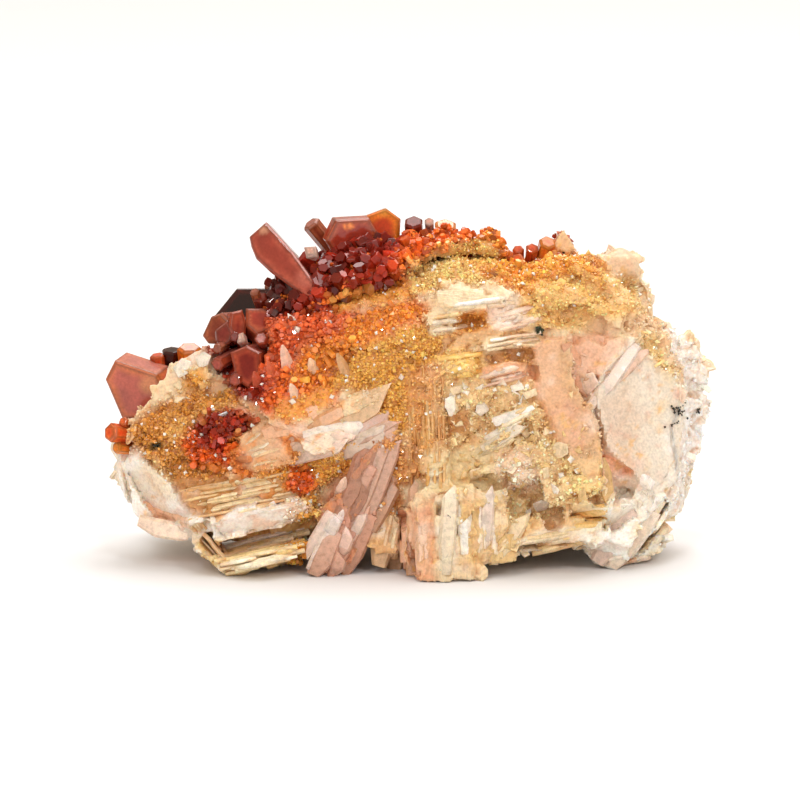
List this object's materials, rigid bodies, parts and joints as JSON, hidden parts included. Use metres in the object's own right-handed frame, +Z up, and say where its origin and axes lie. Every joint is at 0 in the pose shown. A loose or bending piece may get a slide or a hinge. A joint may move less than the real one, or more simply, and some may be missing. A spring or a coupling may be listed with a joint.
{
  "type": "vanadinite on matrix",
  "caption": "Mineral specimen: dark red six-sided vanadinite crystals along the crest of a pale pink and cream baryte matrix that stands on its own broken feet.",
  "frame": {"origin": "middle of the specimen's box, on the surface that it rests on", "axes": "+X right and +Y away as seen from the display side, +Z up"},
  "size_m": [0.07, 0.0388, 0.0391],
  "materials": {
    "baryte": "pale pink and cream bladed crystal mass, dusted orange with fine druse",
    "vanadinite": "glossy brown-red crystal faces with orange edges",
    "drusy_vanadinite": "glittering crust of small red-orange crystals"
  },
  "bodies": {
    "root": {"baryte_matrix": "baryte", "corner_crystal": "vanadinite", "crest_end_crystal": "vanadinite", "crest_right_cluster": "vanadinite", "crest_small_prism": "vanadinite", "crest_table_crystals": "vanadinite", "far_crest_crystals": "vanadinite", "leaning_prism": "vanadinite", "left_ledge_crystals": "vanadinite", "left_table_crystal": "vanadinite", "rear_left_cluster": "vanadinite", "rear_middle_cluster": "vanadinite", "rear_right_cluster": "vanadinite", "shoulder_cluster": "vanadinite", "crest_crystal_crust": "drusy_vanadinite", "hollow_crystal_crust": "drusy_vanadinite"}
  },
  "joints": []
}
